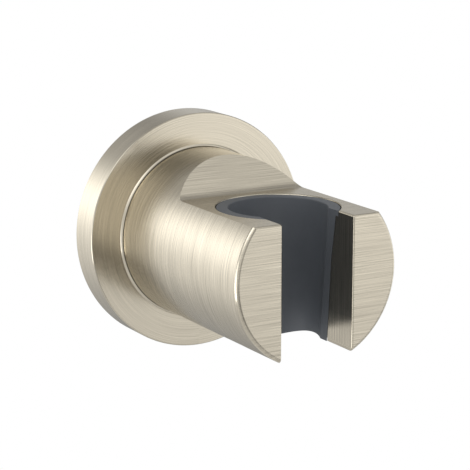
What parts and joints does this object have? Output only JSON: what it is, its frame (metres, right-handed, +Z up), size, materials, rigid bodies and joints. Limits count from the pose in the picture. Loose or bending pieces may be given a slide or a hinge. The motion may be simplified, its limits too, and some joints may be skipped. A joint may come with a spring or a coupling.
{
  "type": "hand shower holder",
  "caption": "Round wall-mounted hand shower holder: cover disc, post with a cut-away flat top, and a tapered lined socket open to the front.",
  "frame": {"origin": "on the axis of the round post, in the plane of the wall", "axes": "+X to the right as seen from the room, +Y into the wall along the post's axis, +Z up"},
  "size_m": [0.0614, 0.0662, 0.0614],
  "materials": {
    "body_nickel": "brass, brushed nickel plate, brushed round the post and across its flats",
    "cover_nickel": "brass, brushed nickel plate, brushed in circles",
    "liner_plastic": "moulded, satin, dark blue-grey",
    "zinc_casting": "die-cast zinc, as cast",
    "screw_steel": "stainless steel"
  },
  "bodies": {
    "root": {"holder_body": "body_nickel", "escutcheon": "cover_nickel", "cone_liner": "liner_plastic", "wall_bracket": "zinc_casting", "set_screw": "screw_steel", "clamp_screw": "screw_steel", "lock_washer": "screw_steel", "locating_pin_left": "screw_steel", "locating_pin_right": "screw_steel"}
  },
  "joints": []
}
